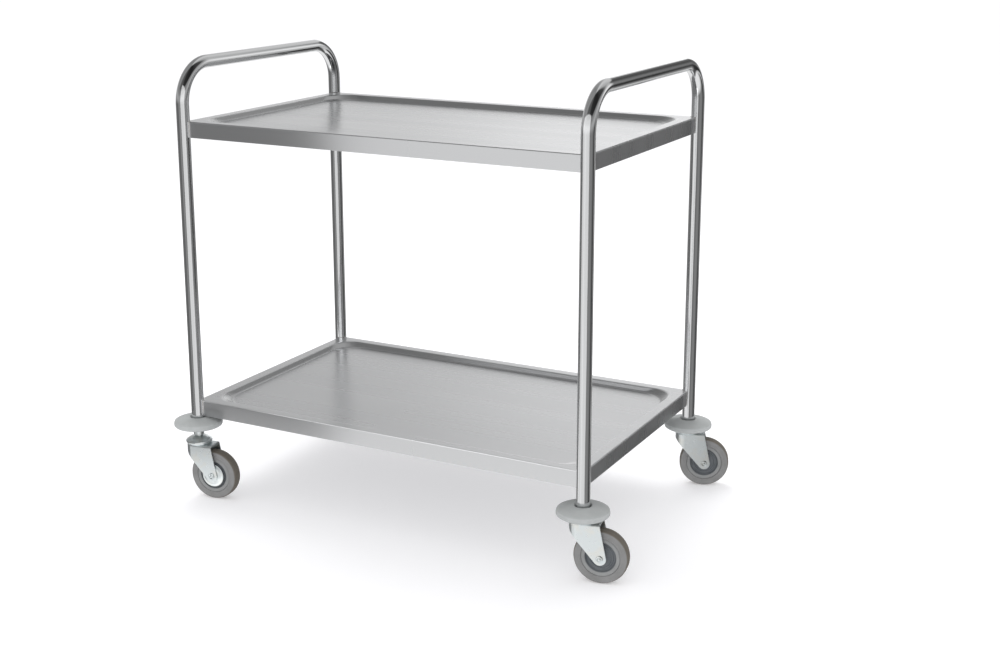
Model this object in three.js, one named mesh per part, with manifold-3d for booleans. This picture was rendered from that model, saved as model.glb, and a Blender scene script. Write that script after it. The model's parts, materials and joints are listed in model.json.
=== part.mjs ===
// An instrument cart: two bent tube hoops, two pressed trays, four bumper rings and four swivel casters.
// Millimetres, +Z up, +X along the long side, -Y the front. It stands on z = 0.
import * as THREE from "three";
import { mergeVertices } from "three/addons/utils/BufferGeometryUtils.js";
import Module from "manifold-3d";

const wasm = await Module();
wasm.setup();

// Driving dimensions.
const LEG_SPACING_X = 850;
const LEG_SPACING_Y = 518;
const TUBE_RADIUS = 12.7;
const TUBE_WALL = 1.5;
const TUBE_BOTTOM_Z = 139;
const HANDLE_Z = 871;
const BEND_RADIUS = 76;
const BEND_STEPS = 7;
const TUBE_HALF_SIDES = 9;
const GAP = 0.3;

const UPPER_TRAY_Z = 763;
const LOWER_TRAY_Z = 201.5;
const SHEET = 1.5;
const SKIRT_HEIGHT = 31;
const RIM_WIDTH = 21;
const DECK_DEPTH = 9;
const DECK_SLOPE_RUN = 10;
const DECK_CORNER_RADIUS = 30;
const DECK_CORNER_STEPS = 5;

const STIFFENER_WIDTH = 60;
const STIFFENER_HEIGHT = 14;
const STIFFENER_FLANGE = 18;
const STIFFENER_END_CLEARANCE = 70;

const BUMPER_RADIUS = 48.3;
const BUMPER_HEIGHT = 19;
const BUMPER_EDGE = 5.5;
const BUMPER_EDGE_HEIGHT = 14;
const BUMPER_CROWN_RADIUS = 17;
const BUMPER_MOUTH = 1.7;
const BUMPER_WELL_RADIUS = 27.5;
const BUMPER_WELL_DEPTH = 7.2;
const BUMPER_LOW_Z = 122.5;
const FRONT_LEFT_BUMPER_LIFT = 27;

const WHEEL_RADIUS = 50;
const TYRE_HALF_WIDTH = 12;
const TYRE_SHOULDER = 4.5;
const TYRE_INNER_RADIUS = 35.5;
const TYRE_LIP = 0.8;
const TRAIL = 35;

const HUB_HALF_LENGTH = 14.6;
const HUB_BOSS_RADIUS = 9.5;
const HUB_WEB_HALF = 6;
const HUB_RIM_HALF = 10.8;
const HUB_RIM_INNER_RADIUS = 28.5;

const AXLE_RADIUS = 4;
const AXLE_HEAD_RADIUS = 6.4;
const AXLE_HEAD_HEIGHT = 2.8;
const NUT_RADIUS = 7.5;
const NUT_HEIGHT = 6;
const SPACER_RADIUS = 8;
const COVER_RADIUS = 23.5;
const COVER_SHEET = 1;
const COVER_RIM_NEAR = 12.2;
const COVER_DISH_RADIUS = 14;

const FORK_HALF_WIDTH = 19;
const FORK_SHEET = 2.5;
const FORK_TOP_Z = 113;
const FORK_NOSE_X = -25;
const FORK_NOSE_Z = 100;
const FORK_REAR_X = 34;
const FORK_BOSS_RADIUS = 12;
const FORK_BLANK_REAR_X = 60;
const FORK_BLANK_BOTTOM_Z = 30;

const CUP_RADIUS = 26.3;
const CUP_BOTTOM_Z = 115.5;
const CUP_SHOULDER_Z = 120.5;
const CUP_TOP_Z = 127.8;
const CUP_CROWN_RADIUS = 13;
const CUP_WALL = 1.7;
const RACE_INNER_RADIUS = 15;
const RACE_RADIUS = 24.2;
const RACE_HEIGHT = 4.5;

const PIN_RADIUS = 7;
const PIN_HEAD_RADIUS = 10.5;
const PIN_HEAD_HEIGHT = 3.2;
const PIN_COLLAR_RADIUS = 8.4;
const SLEEVE_RADIUS = 10.4;
const SLEEVE_BOTTOM_Z = 130.3;
const SLEEVE_TOP_Z = 185;
const SLEEVE_CHAMFER = 3;

const RING_FLATS = 28;
const ROUND_SEGMENTS = 20;
const SMALL_SEGMENTS = 16;
const CLEAR = 1;

// The casters as they stand: where each leg is, and how far its fork is turned from trailing to +X.
const CORNERS = [
  { name: "front_left", x: 0, y: 0, yaw: 0.14, lift: FRONT_LEFT_BUMPER_LIFT, covered: true },
  { name: "front_right", x: LEG_SPACING_X, y: 0, yaw: 0.19, lift: 0, covered: false },
  { name: "rear_left", x: 0, y: LEG_SPACING_Y, yaw: 0.25, lift: 0, covered: false },
  { name: "rear_right", x: LEG_SPACING_X, y: LEG_SPACING_Y, yaw: 0.35, lift: 0, covered: false },
];

// Materials.
function polishedSteel() {
  return new THREE.MeshStandardMaterial({ color: 0xc4c6c8, metalness: 1, roughness: 0.12 });
}

function brushedSteel() {
  return new THREE.MeshStandardMaterial({ color: 0xb4b6b7, metalness: 1, roughness: 0.35 });
}

function zincPlate() {
  return new THREE.MeshStandardMaterial({ color: 0xc3ccd0, metalness: 0.9, roughness: 0.35 });
}

function bumperRubber() {
  return new THREE.MeshStandardMaterial({ color: 0x9fa4a4, metalness: 0, roughness: 0.6 });
}

function tyreRubber() {
  return new THREE.MeshStandardMaterial({ color: 0x86868a, metalness: 0, roughness: 0.7 });
}

function hubPlastic() {
  return new THREE.MeshStandardMaterial({ color: 0x636a70, metalness: 0, roughness: 0.5 });
}

// A geometry with one vertex per corner point, as manifold-3d needs it.
function welded(geometry) {
  const copy = geometry.clone();
  copy.deleteAttribute("normal");
  copy.deleteAttribute("uv");
  return mergeVertices(copy, 1e-4);
}

function toSolid(geometry) {
  const merged = welded(geometry);
  return new wasm.Manifold(
    new wasm.Mesh({
      numProp: 3,
      vertProperties: merged.getAttribute("position").array,
      triVerts: new Uint32Array(merged.getIndex().array),
    }),
  );
}

function toGeometry(solid) {
  const mesh = solid.getMesh();
  const geometry = new THREE.BufferGeometry();
  geometry.setAttribute("position", new THREE.BufferAttribute(mesh.vertProperties, 3));
  geometry.setIndex(new THREE.BufferAttribute(mesh.triVerts, 1));
  const flat = geometry.toNonIndexed();
  flat.computeVertexNormals();
  return flat;
}

function named(name, geometry, material) {
  const mesh = new THREE.Mesh(geometry, material);
  mesh.name = name;
  return mesh;
}

// A round piece about +Z: points are [radius, height] pairs that close on themselves or end on the axis.
function turned(points, segments = ROUND_SEGMENTS) {
  const profile = points.map(([radius, height]) => new THREE.Vector2(radius, height));
  return new THREE.LatheGeometry(profile, segments).rotateX(Math.PI / 2);
}

// Profile points along part of an ellipse about (radius, height), with angles in degrees from outward.
function arc(radius, height, across, up, from, to, steps) {
  const points = [];
  for (let i = 0; i <= steps; i++) {
    const angle = THREE.MathUtils.degToRad(from + ((to - from) * i) / steps);
    points.push([radius + across * Math.cos(angle), height + up * Math.sin(angle)]);
  }
  return points;
}

// A solid cylinder about +Z from one height to another, used as a cutter.
function drill(radius, low, high, segments = SMALL_SEGMENTS) {
  return new THREE.CylinderGeometry(radius, radius, high - low, segments)
    .rotateX(Math.PI / 2)
    .translate(0, 0, (low + high) / 2);
}

function boxBetween(low, high) {
  const size = high.map((value, i) => value - low[i]);
  const centre = high.map((value, i) => (value + low[i]) / 2);
  return new THREE.BoxGeometry(...size).translate(...centre);
}

// The hoop's middle line: up the front leg, round a bend, along the handle bar and down the rear leg.
// Each straight is one step and each bend has BEND_STEPS, so a step starts exactly where a bend does.
class HoopPath extends THREE.Curve {
  constructor() {
    super();
    const arcZ = HANDLE_Z - BEND_RADIUS;
    const rearY = LEG_SPACING_Y - BEND_RADIUS;
    this.points = [[0, TUBE_BOTTOM_Z, 0]];
    for (let i = 0; i <= BEND_STEPS; i++) {
      const turn = (i / BEND_STEPS) * (Math.PI / 2);
      const y = BEND_RADIUS * (1 - Math.cos(turn));
      this.points.push([y, arcZ + BEND_RADIUS * Math.sin(turn), turn]);
    }
    for (let i = 0; i <= BEND_STEPS; i++) {
      const turn = (i / BEND_STEPS) * (Math.PI / 2);
      const y = rearY + BEND_RADIUS * Math.sin(turn);
      this.points.push([y, arcZ + BEND_RADIUS * Math.cos(turn), Math.PI / 2 + turn]);
    }
    this.points.push([LEG_SPACING_Y, TUBE_BOTTOM_Z, Math.PI]);
    this.steps = this.points.length - 1;
  }

  getPointAt(u) {
    const [y, z] = this.points[Math.round(u * this.steps)];
    return new THREE.Vector3(0, y, z);
  }

  getTangentAt(u) {
    const turn = this.points[Math.round(u * this.steps)][2];
    return new THREE.Vector3(0, Math.sin(turn), Math.cos(turn));
  }
}

function tubeHoop() {
  const path = new HoopPath();
  const section = new THREE.Shape().absarc(0, 0, TUBE_RADIUS, 0, 2 * Math.PI);
  section.holes.push(new THREE.Path().absarc(0, 0, TUBE_RADIUS - TUBE_WALL, 0, 2 * Math.PI));
  return new THREE.ExtrudeGeometry(section, {
    steps: path.steps,
    curveSegments: TUBE_HALF_SIDES,
    extrudePath: path,
  });
}

// A rectangle inset from the tray's outline, with round corners.
function insetOutline(inset, radius) {
  const left = inset;
  const right = LEG_SPACING_X - inset;
  const front = inset;
  const rear = LEG_SPACING_Y - inset;
  const shape = new THREE.Shape();
  shape.moveTo(left + radius, front);
  shape.lineTo(right - radius, front);
  shape.absarc(right - radius, front + radius, radius, -Math.PI / 2, 0);
  shape.lineTo(right, rear - radius);
  shape.absarc(right - radius, rear - radius, radius, 0, Math.PI / 2);
  shape.lineTo(left + radius, rear);
  shape.absarc(left + radius, rear - radius, radius, Math.PI / 2, Math.PI);
  shape.lineTo(left, front + radius);
  shape.absarc(left + radius, front + radius, radius, Math.PI, 1.5 * Math.PI);
  return shape;
}

// The recess as a cutter: a flat floor at -depth, walls that slope out by DECK_SLOPE_RUN up to z = 0.
function recessCutter(depth, floorInset, radius) {
  return new THREE.ExtrudeGeometry(insetOutline(floorInset, radius), {
    depth: CLEAR,
    bevelThickness: depth,
    bevelSize: DECK_SLOPE_RUN,
    bevelSegments: 1,
    curveSegments: DECK_CORNER_STEPS,
  });
}

// One tray with the rim's top at z = 0, as one sheet: rim, recessed deck and skirt, notched round the tubes.
function tray() {
  const floorInset = RIM_WIDTH + DECK_SLOPE_RUN;
  const block = boxBetween([0, 0, -SKIRT_HEIGHT], [LEG_SPACING_X, LEG_SPACING_Y, 0]);
  const under = boxBetween(
    [SHEET, SHEET, -SKIRT_HEIGHT - CLEAR],
    [LEG_SPACING_X - SHEET, LEG_SPACING_Y - SHEET, -SHEET],
  );
  const recess = recessCutter(DECK_DEPTH, floorInset, DECK_CORNER_RADIUS);
  const pan = recessCutter(DECK_DEPTH, floorInset - SHEET, DECK_CORNER_RADIUS + SHEET);
  pan.translate(0, 0, -SHEET);
  let sheet = toSolid(block).subtract(toSolid(recess)).subtract(toSolid(under).subtract(toSolid(pan)));
  for (const corner of CORNERS) {
    const notch = drill(TUBE_RADIUS + GAP, -SKIRT_HEIGHT - CLEAR, CLEAR, ROUND_SEGMENTS);
    sheet = sheet.subtract(toSolid(notch.translate(corner.x, corner.y, 0)));
  }
  return toGeometry(sheet);
}

// A channel under the deck with an outward flange on each side, open at both ends. Its top is at z = 0.
function stiffener() {
  const half = STIFFENER_WIDTH / 2;
  const outer = half + STIFFENER_FLANGE;
  const profile = new THREE.Shape();
  profile.moveTo(-outer, 0);
  profile.lineTo(-outer, -SHEET);
  profile.lineTo(-half, -SHEET);
  profile.lineTo(-half, -STIFFENER_HEIGHT);
  profile.lineTo(half, -STIFFENER_HEIGHT);
  profile.lineTo(half, -SHEET);
  profile.lineTo(outer, -SHEET);
  profile.lineTo(outer, 0);
  profile.lineTo(half - SHEET, 0);
  profile.lineTo(half - SHEET, SHEET - STIFFENER_HEIGHT);
  profile.lineTo(SHEET - half, SHEET - STIFFENER_HEIGHT);
  profile.lineTo(SHEET - half, 0);
  const length = LEG_SPACING_X - 2 * STIFFENER_END_CLEARANCE;
  return new THREE.ExtrudeGeometry(profile, { depth: length, bevelEnabled: false })
    .rotateX(Math.PI / 2)
    .rotateZ(Math.PI / 2)
    .translate(STIFFENER_END_CLEARANCE, LEG_SPACING_Y / 2, 0);
}

// The bumper ring with its bottom at z = 0: a domed disc with a well under it for the swivel cup.
function bumperRing() {
  const bore = TUBE_RADIUS + GAP;
  const edge = BUMPER_EDGE_HEIGHT / 2;
  return turned(
    [
      [BUMPER_WELL_RADIUS, 0],
      ...arc(BUMPER_RADIUS - BUMPER_EDGE, edge, BUMPER_EDGE, edge, -90, 90, 4),
      [BUMPER_CROWN_RADIUS, BUMPER_HEIGHT],
      [bore + BUMPER_MOUTH, BUMPER_HEIGHT],
      [bore, BUMPER_HEIGHT - 2 * BUMPER_MOUTH],
      [bore, BUMPER_WELL_DEPTH],
      [BUMPER_WELL_RADIUS, BUMPER_WELL_DEPTH],
      [BUMPER_WELL_RADIUS, 0],
    ],
    RING_FLATS,
  );
}

// The plug that holds the caster in the tube's end, seen as a short collar under it.
function stemSleeve() {
  const profile = [
    [0, SLEEVE_BOTTOM_Z],
    [SLEEVE_RADIUS, SLEEVE_BOTTOM_Z],
    [SLEEVE_RADIUS, SLEEVE_TOP_Z - SLEEVE_CHAMFER],
    [SLEEVE_RADIUS - SLEEVE_CHAMFER, SLEEVE_TOP_Z],
    [0, SLEEVE_TOP_Z],
  ];
  return turned(profile, SMALL_SEGMENTS);
}

// The domed cup over the balls: a straight skirt, a round shoulder and a crown with a hole for the pin.
function swivelCup() {
  const bore = PIN_RADIUS + GAP;
  const inside = CUP_RADIUS - CUP_WALL;
  const rise = CUP_TOP_Z - CUP_SHOULDER_Z;
  return turned([
    [bore, CUP_TOP_Z - CUP_WALL],
    [inside, CUP_SHOULDER_Z - CUP_WALL],
    [inside, CUP_BOTTOM_Z],
    [CUP_RADIUS, CUP_BOTTOM_Z],
    ...arc(CUP_CROWN_RADIUS, CUP_SHOULDER_Z, CUP_RADIUS - CUP_CROWN_RADIUS, rise, 0, 90, 4),
    [bore, CUP_TOP_Z],
    [bore, CUP_TOP_Z - CUP_WALL],
  ]);
}

// The rivet that joins fork and cup: a head under the fork's top plate, a shank and a collar over the cup.
function kingPin() {
  const head = FORK_TOP_Z - FORK_SHEET - GAP;
  const collar = CUP_TOP_Z + GAP;
  const top = SLEEVE_BOTTOM_Z - GAP;
  const profile = [
    [0, head - PIN_HEAD_HEIGHT],
    [PIN_COLLAR_RADIUS, head - PIN_HEAD_HEIGHT],
    [PIN_HEAD_RADIUS, head - PIN_HEAD_HEIGHT / 2],
    [PIN_HEAD_RADIUS, head],
    [PIN_RADIUS, head],
    [PIN_RADIUS, collar],
    [PIN_COLLAR_RADIUS, collar],
    [PIN_COLLAR_RADIUS, top],
    [0, top],
  ];
  return turned(profile, SMALL_SEGMENTS);
}

// The ring of balls between fork and cup, as one plain ring.
function ballRace() {
  const low = FORK_TOP_Z + GAP;
  const high = low + RACE_HEIGHT;
  return turned([
    [RACE_INNER_RADIUS, low],
    [RACE_RADIUS, low],
    [RACE_RADIUS, high],
    [RACE_INNER_RADIUS, high],
    [RACE_INNER_RADIUS, low],
  ]);
}

// The fork's plan: straight sides with a half-round nose, open to the rear past the plates.
function forkPlan(halfWidth, rearX) {
  const noseCentre = FORK_NOSE_X + FORK_HALF_WIDTH;
  const shape = new THREE.Shape();
  shape.moveTo(rearX, -halfWidth);
  shape.lineTo(rearX, halfWidth);
  shape.lineTo(noseCentre, halfWidth);
  shape.absarc(noseCentre, 0, halfWidth, Math.PI / 2, 1.5 * Math.PI);
  return shape;
}

// The angle at which a line from (x, z) touches the fork's round end about the axle, on side 1 or -1 of it.
function bossTangentAngle(x, z, side) {
  const dx = TRAIL - x;
  const dz = WHEEL_RADIUS - z;
  const reach = Math.hypot(dx, dz);
  return Math.atan2(-dz, -dx) + side * Math.acos(FORK_BOSS_RADIUS / reach);
}

// The side view of the fork, drawn in X and Z: a flat top that runs down to a round end about the axle.
function forkSideView() {
  const shape = new THREE.Shape();
  const top = FORK_TOP_Z + CLEAR;
  const noseX = FORK_NOSE_X - CLEAR;
  const noseZ = FORK_NOSE_Z + CLEAR;
  const front = bossTangentAngle(noseX, noseZ, 1);
  const rear = bossTangentAngle(FORK_REAR_X, top, -1);
  shape.moveTo(noseX, top);
  shape.lineTo(noseX, noseZ);
  shape.absarc(TRAIL, WHEEL_RADIUS, FORK_BOSS_RADIUS, front, rear + 2 * Math.PI);
  shape.lineTo(FORK_REAR_X, top);
  return shape;
}

// The fork's plan drawn up to a height, as a solid block.
function forkBlock(halfWidth, rearX, topZ) {
  const block = new THREE.ExtrudeGeometry(forkPlan(halfWidth, rearX), {
    depth: topZ - FORK_BLANK_BOTTOM_Z,
    bevelEnabled: false,
    curveSegments: 6,
  });
  return toSolid(block.translate(0, 0, FORK_BLANK_BOTTOM_Z));
}

// The pressed fork: a top plate, two side plates and a half-round nose, from one sheet.
function fork() {
  const halfInside = FORK_HALF_WIDTH - FORK_SHEET;
  const topInside = FORK_TOP_Z - FORK_SHEET;
  const outside = forkBlock(FORK_HALF_WIDTH, FORK_BLANK_REAR_X, FORK_TOP_Z);
  const inside = forkBlock(halfInside, FORK_BLANK_REAR_X + CLEAR, topInside);
  const halfDepth = FORK_HALF_WIDTH + CLEAR;
  const sideView = new THREE.ExtrudeGeometry(forkSideView(), {
    depth: 2 * halfDepth,
    bevelEnabled: false,
    curveSegments: 8,
  });
  sideView.rotateX(Math.PI / 2).translate(0, halfDepth, 0);
  const pinHole = drill(PIN_RADIUS + GAP, topInside - CLEAR, FORK_TOP_Z + CLEAR);
  const axleHole = onAxle(drill(AXLE_RADIUS + GAP, -halfDepth, halfDepth));
  const shell = outside.subtract(inside).intersect(toSolid(sideView));
  return toGeometry(shell.subtract(toSolid(pinHole)).subtract(toSolid(axleHole)));
}

// Pieces about the axle are turned about +Z from the wheel's middle plane, then laid along Y.
function onAxle(geometry) {
  return geometry.rotateX(Math.PI / 2).translate(TRAIL, 0, WHEEL_RADIUS);
}

function axleBolt() {
  const face = FORK_HALF_WIDTH + GAP;
  const end = -FORK_HALF_WIDTH - NUT_HEIGHT - 2;
  const profile = [
    [0, end],
    [AXLE_RADIUS, end],
    [AXLE_RADIUS, face],
    ...arc(0, face, AXLE_HEAD_RADIUS, AXLE_HEAD_HEIGHT, 0, 90, 3),
  ];
  return onAxle(turned(profile, SMALL_SEGMENTS));
}

function axleNut() {
  const face = -FORK_HALF_WIDTH - GAP;
  const hexagon = drill(NUT_RADIUS, face - NUT_HEIGHT, face, 6);
  const hole = drill(AXLE_RADIUS + GAP, face - NUT_HEIGHT - CLEAR, face + CLEAR);
  return onAxle(toGeometry(toSolid(hexagon).subtract(toSolid(hole))));
}

// A profile on the wheel's outer side, or the same one mirrored to its inner side.
function onSide(profile, side) {
  return side > 0 ? profile : profile.map(([radius, height]) => [radius, -height]).reverse();
}

// A washer between the hub's boss and the fork's side plate.
function spacer(side) {
  const bore = AXLE_RADIUS + GAP;
  const near = HUB_HALF_LENGTH + GAP;
  const far = FORK_HALF_WIDTH - FORK_SHEET - GAP;
  const profile = [[bore, near], [SPACER_RADIUS, near], [SPACER_RADIUS, far], [bore, far], [bore, near]];
  return onAxle(turned(onSide(profile, side)));
}

// A dished disc cover beside the hub: its rim lies in the tyre's recess, its middle against the fork.
function discCover(side) {
  const bore = AXLE_RADIUS + GAP;
  const near = HUB_HALF_LENGTH + GAP;
  const far = FORK_HALF_WIDTH - FORK_SHEET - GAP;
  const profile = [
    [bore, near],
    [COVER_DISH_RADIUS, near],
    [COVER_RADIUS, COVER_RIM_NEAR],
    [COVER_RADIUS, COVER_RIM_NEAR + COVER_SHEET],
    [COVER_DISH_RADIUS + COVER_SHEET, far],
    [bore, far],
    [bore, near],
  ];
  return onAxle(turned(onSide(profile, side)));
}

// A ring that is the same on both sides of the wheel's middle plane, from its outer half profile.
function wheelRing(half) {
  return turned([...half, ...onSide(half, -1), half[0]].reverse(), RING_FLATS);
}

// The plastic hub: a rim under the tyre, a thin web and a boss round the axle.
function wheelHub() {
  return onAxle(
    wheelRing([
      [AXLE_RADIUS + GAP, HUB_HALF_LENGTH],
      [HUB_BOSS_RADIUS, HUB_HALF_LENGTH],
      [HUB_BOSS_RADIUS, HUB_WEB_HALF],
      [HUB_RIM_INNER_RADIUS, HUB_WEB_HALF],
      [HUB_RIM_INNER_RADIUS, HUB_RIM_HALF],
      [TYRE_INNER_RADIUS - GAP, HUB_RIM_HALF],
    ]),
  );
}

// The tyre is turned so that one of its flats lies on the floor, WHEEL_RADIUS under the axle.
function tyre() {
  const outer = WHEEL_RADIUS / Math.cos(Math.PI / RING_FLATS);
  const ring = wheelRing([
    [TYRE_INNER_RADIUS, TYRE_HALF_WIDTH - TYRE_LIP],
    [TYRE_INNER_RADIUS + 3, TYRE_HALF_WIDTH],
    [outer - TYRE_SHOULDER, TYRE_HALF_WIDTH],
    [outer - TYRE_SHOULDER / 4, TYRE_HALF_WIDTH - TYRE_SHOULDER / 3],
    [outer, TYRE_HALF_WIDTH - TYRE_SHOULDER],
  ]);
  return onAxle(ring.rotateZ(Math.PI / RING_FLATS));
}

function caster(corner) {
  const place = new THREE.Group();
  place.position.set(corner.x, corner.y, 0);
  place.rotation.z = corner.yaw;
  const add = (part, geometry, material) => place.add(named(corner.name + part, geometry, material));
  add("_stem_sleeve", stemSleeve(), zincPlate());
  add("_swivel_cup", swivelCup(), zincPlate());
  add("_king_pin", kingPin(), zincPlate());
  add("_ball_race", ballRace(), zincPlate());
  add("_fork", fork(), zincPlate());
  add("_axle_bolt", axleBolt(), zincPlate());
  add("_axle_nut", axleNut(), zincPlate());
  if (corner.covered) {
    add("_outer_cover", discCover(1), zincPlate());
    add("_inner_cover", discCover(-1), zincPlate());
  } else {
    add("_outer_spacer", spacer(1), zincPlate());
    add("_inner_spacer", spacer(-1), zincPlate());
  }
  add("_wheel_hub", wheelHub(), hubPlastic());
  add("_tyre", tyre(), tyreRubber());
  return place;
}

function bumper(corner) {
  const ring = named(corner.name + "_bumper_ring", bumperRing(), bumperRubber());
  ring.position.set(corner.x, corner.y, BUMPER_LOW_Z + corner.lift);
  return ring;
}

function cart() {
  const group = new THREE.Group();
  const left = named("left_tube_hoop", tubeHoop(), polishedSteel());
  const right = named("right_tube_hoop", tubeHoop(), polishedSteel());
  right.position.x = LEG_SPACING_X;
  group.add(left, right);
  for (const [level, z] of [["upper", UPPER_TRAY_Z], ["lower", LOWER_TRAY_Z]]) {
    const pan = named(level + "_tray", tray(), brushedSteel());
    pan.position.z = z;
    const channel = named(level + "_tray_stiffener", stiffener(), brushedSteel());
    channel.position.z = z - DECK_DEPTH - SHEET - GAP;
    group.add(pan, channel);
  }
  for (const corner of CORNERS) group.add(bumper(corner), caster(corner));
  return group;
}

// The part's frame has its origin on the floor under the middle of the whole cart.
const assembly = cart();
const middle = new THREE.Box3().setFromObject(assembly, true).getCenter(new THREE.Vector3());
assembly.position.set(-middle.x, -middle.y, 0);
const root = new THREE.Group();
root.add(assembly);

export default root;
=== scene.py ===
"""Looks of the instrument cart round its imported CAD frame. +X is along the long side, -Y is the front."""

import json
import math

import bmesh
import bpy
import numpy as np
from mathutils import Matrix, Vector


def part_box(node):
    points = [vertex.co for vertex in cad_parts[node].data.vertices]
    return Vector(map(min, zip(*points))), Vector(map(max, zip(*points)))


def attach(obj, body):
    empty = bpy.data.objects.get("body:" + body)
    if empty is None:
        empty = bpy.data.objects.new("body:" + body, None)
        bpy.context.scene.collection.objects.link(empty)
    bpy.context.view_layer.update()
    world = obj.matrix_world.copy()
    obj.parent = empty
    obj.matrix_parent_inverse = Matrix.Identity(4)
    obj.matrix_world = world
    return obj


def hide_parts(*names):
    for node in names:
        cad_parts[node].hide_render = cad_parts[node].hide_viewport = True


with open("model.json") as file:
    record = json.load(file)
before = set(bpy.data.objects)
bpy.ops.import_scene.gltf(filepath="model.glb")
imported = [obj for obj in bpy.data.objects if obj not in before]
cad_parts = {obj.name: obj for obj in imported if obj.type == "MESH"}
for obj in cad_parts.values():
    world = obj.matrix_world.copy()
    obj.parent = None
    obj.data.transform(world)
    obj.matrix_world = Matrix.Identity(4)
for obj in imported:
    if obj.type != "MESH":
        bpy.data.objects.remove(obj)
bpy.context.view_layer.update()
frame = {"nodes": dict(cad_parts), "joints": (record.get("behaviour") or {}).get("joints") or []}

MM = 0.001
TAU = 2 * math.pi

# The camera stands at the front right, a little above the handles, and looks down at the cart.
# Its place and reach are in metres, its turn and dip in radians, and its lens and sensor in millimetres.
CAMERA_PLACE = (1.4242, -2.5140, 1.1698)
CAMERA_TURN = 0.483
CAMERA_DIP = 0.242
CAMERA_LENS = 54.1
CAMERA_SENSOR = 36.0
CAMERA_SHIFT_UP = -0.06
CAMERA_REACH = 200.0

# Dimensions in millimetres, as in the CAD. TUBE_BOTTOM, FORK_TOP and all that end in Z are above the floor.
TUBE_RADIUS = 12.7
TUBE_WALL = 1.5
TUBE_BOTTOM = 139
HANDLE_Z = 871
BEND_RADIUS = 76
UPPER_TRAY_Z = 763
LOWER_TRAY_Z = 201.5
SHEET = 1.5
SKIRT_HEIGHT = 31
RIM_WIDTH = 21
DECK_DEPTH = 9
DECK_SLOPE_RUN = 10
DECK_CORNER_RADIUS = 30
FOLD_RADIUS = 2.4
STIFFENER_FLANGE = 18
BUMPER_RADIUS = 48.3
WHEEL_RADIUS = 50
WHEEL_HALF_WIDTH = 12
TRAIL = 35
FORK_TOP = 113
FORK_HALF_WIDTH = 19
FORK_SHEET = 2.5
FORK_END_RADIUS = 12
FORK_REAR_X = 34
AXLE_HOLE_RADIUS = 4.3
PIN_HOLE_RADIUS = 7.3

# Details of the looks alone, in millimetres unless said otherwise.
BEND_FLATTENING = 0.02  # share of the radius lost where a bend is flattest
NOTCH_GAP = 0.15
WELD_RADIUS = 0.95
WELD_RIPPLE = 0.1
FORK_EDGE_ROUNDING = 0.5


# ---------------------------------------------------------------- where the casters are

def corner_facts():
    """Each leg's axis, the turn of its fork and the height of its bumper ring, read from the frame."""
    corners = {}
    joints = {j["name"]: j for j in frame["joints"]}
    for name in ("front_left", "front_right", "rear_left", "rear_right"):
        swivel = joints[name + "_swivel_turn"]["pos_m"]
        axle = joints[name + "_wheel_spin"]["axis"]
        low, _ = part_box(name + "_bumper_ring")
        corners[name] = {
            "x": swivel[0],
            "y": swivel[1],
            "yaw": math.atan2(-axle[0], axle[1]),
            "bumper_z": low.z,
        }
    return corners


CORNERS = corner_facts()
LEFT, FRONT = CORNERS["front_left"]["x"], CORNERS["front_left"]["y"]
RIGHT, REAR = CORNERS["rear_right"]["x"], CORNERS["rear_right"]["y"]


# ---------------------------------------------------------------- mesh helpers

def add_piece(name, mesh, body, material, replaces=(), crease=38):
    """Adds a smooth-shaded mesh object that rides on a body and wears a material."""
    piece = bpy.data.objects.new(name, mesh)
    bpy.context.scene.collection.objects.link(piece)
    mesh.materials.clear()
    mesh.materials.append(material)
    mesh.shade_smooth()
    mesh.set_sharp_from_angle(angle=math.radians(crease))
    flat = piece.modifiers.new("flat faces stay flat", "WEIGHTED_NORMAL")
    flat.keep_sharp = True
    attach(piece, body)
    if replaces:
        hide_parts(*replaces)
    return piece


def mesh_from(name, points, faces, place=None):
    """A mesh from points in millimetres, moved by a matrix in metres."""
    mesh = bpy.data.meshes.new(name)
    mesh.from_pydata([Vector(p) * MM for p in points], [], faces)
    if place is not None:
        mesh.transform(place)
    tidy = bmesh.new()
    tidy.from_mesh(mesh)
    bmesh.ops.recalc_face_normals(tidy, faces=tidy.faces)
    tidy.to_mesh(mesh)
    tidy.free()
    mesh.update()
    return mesh


def rounded(corners, closed=True, steps=4):
    """Replaces each corner (a, b, rounding) of an outline by an arc of that rounding, as (a, b) points."""
    most_of_side = 0.49
    found = []
    count = len(corners)
    for i, (a, b, rounding) in enumerate(corners):
        corner = Vector((a, b))
        if rounding == 0 or (not closed and i in (0, count - 1)):
            found.append((a, b))
            continue
        before = Vector(corners[i - 1][:2]) - corner
        after = Vector(corners[(i + 1) % count][:2]) - corner
        half = before.angle(after) / 2
        reach = min(rounding / math.tan(half), most_of_side * before.length, most_of_side * after.length)
        radius = reach * math.tan(half)
        u, v = before.normalized(), after.normalized()
        centre = corner + (u + v).normalized() * (radius / math.sin(half))
        first = corner + u * reach - centre
        last = corner + v * reach - centre
        swing = first.angle_signed(last)
        for k in range(steps + 1):
            turned = first.copy()
            turned.rotate(Matrix.Rotation(-swing * k / steps, 2))
            found.append(tuple(centre + turned))
    return found


def lathe(name, profile, place, segments, closed=True):
    """Turns (radius, height) points round +Z. A profile that isn't closed starts and ends on the axis."""
    points, faces, rings = [], [], []
    for radius, height in profile:
        if radius < 1e-6:
            rings.append([len(points)] * segments)
            points.append((0, 0, height))
            continue
        rings.append([len(points) + k for k in range(segments)])
        for k in range(segments):
            turn = TAU * k / segments
            points.append((radius * math.cos(turn), radius * math.sin(turn), height))
    last = len(rings) if closed else len(rings) - 1
    for i in range(last):
        low, high = rings[i], rings[(i + 1) % len(rings)]
        for k in range(segments):
            n = (k + 1) % segments
            face = list(dict.fromkeys((low[k], low[n], high[n], high[k])))
            faces.append(face)
    return mesh_from(name, points, faces, place)


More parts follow.
